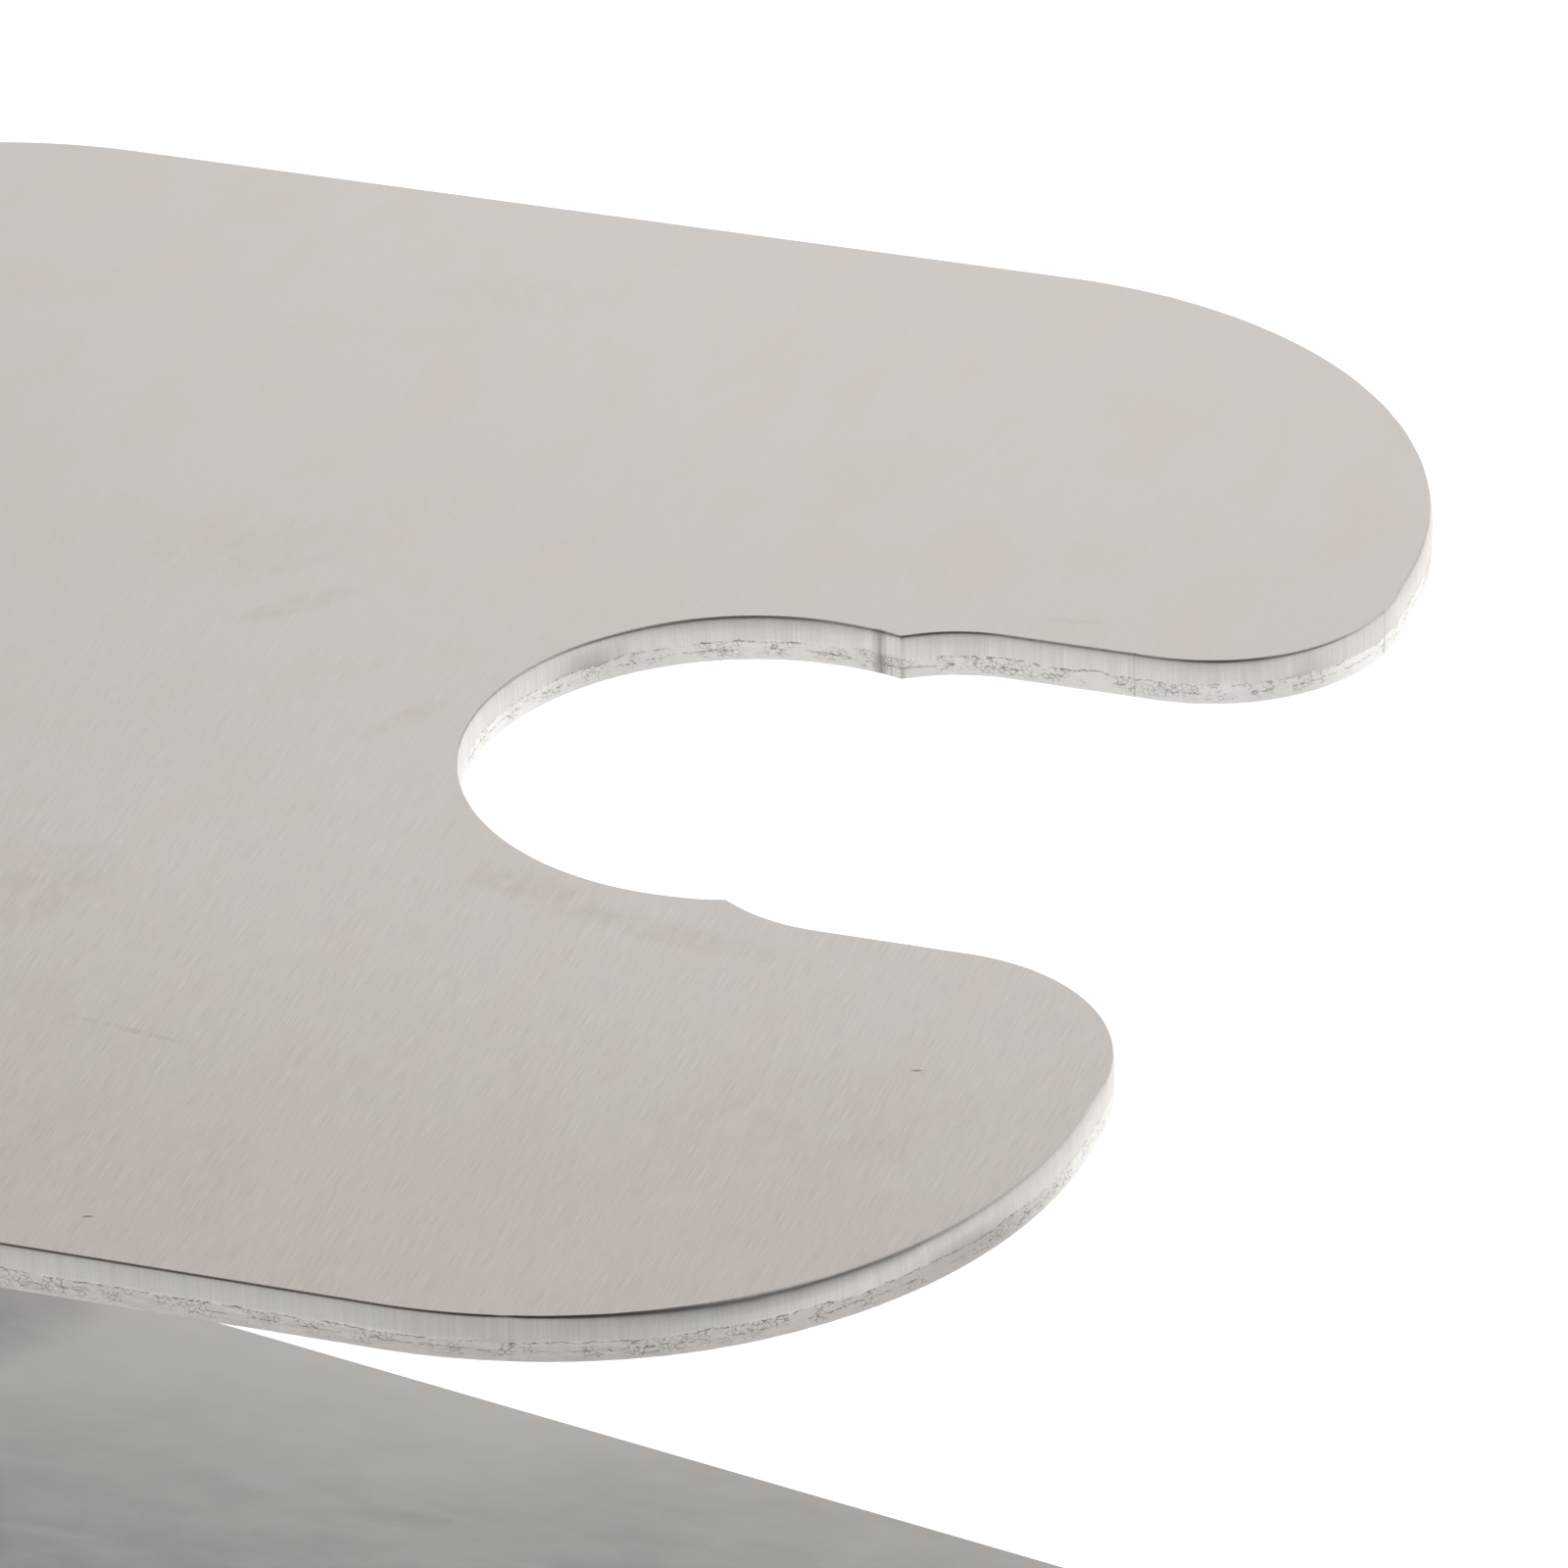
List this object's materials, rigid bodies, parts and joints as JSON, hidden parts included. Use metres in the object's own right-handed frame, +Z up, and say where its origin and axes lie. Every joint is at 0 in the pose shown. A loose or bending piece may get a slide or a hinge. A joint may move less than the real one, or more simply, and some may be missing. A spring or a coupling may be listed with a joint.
{
  "type": "cranked palette knife",
  "caption": "Palette knife: wide tapered steel blade under a notched aluminium palm plate, joined at the heel by a bent steel strap neck.",
  "frame": {"origin": "middle of the blade's footprint, on the blade's lower face", "axes": "+X along the blade from heel to tip, +Y across it, +Z up towards the palm plate"},
  "size_m": [0.178, 0.086, 0.06],
  "materials": {
    "palm_aluminium": "fine straight brushing across the plate, punched edges",
    "blade_steel": "satin ground spring steel",
    "neck_steel": "satin bent strap",
    "doubler_steel": "satin strip",
    "screw_steel": "plain stainless",
    "washer_zinc": "bright zinc plate",
    "nut_zinc": "bright zinc plate",
    "rivet_steel": "set and lightly polished heads"
  },
  "bodies": {
    "root": {"palm_plate": "palm_aluminium", "blade": "blade_steel", "neck_bracket": "neck_steel", "heel_doubler": "doubler_steel", "palm_screws": "screw_steel", "palm_washers": "washer_zinc", "palm_nuts": "nut_zinc", "flange_rivets": "rivet_steel", "doubler_rivets": "rivet_steel"}
  },
  "joints": []
}
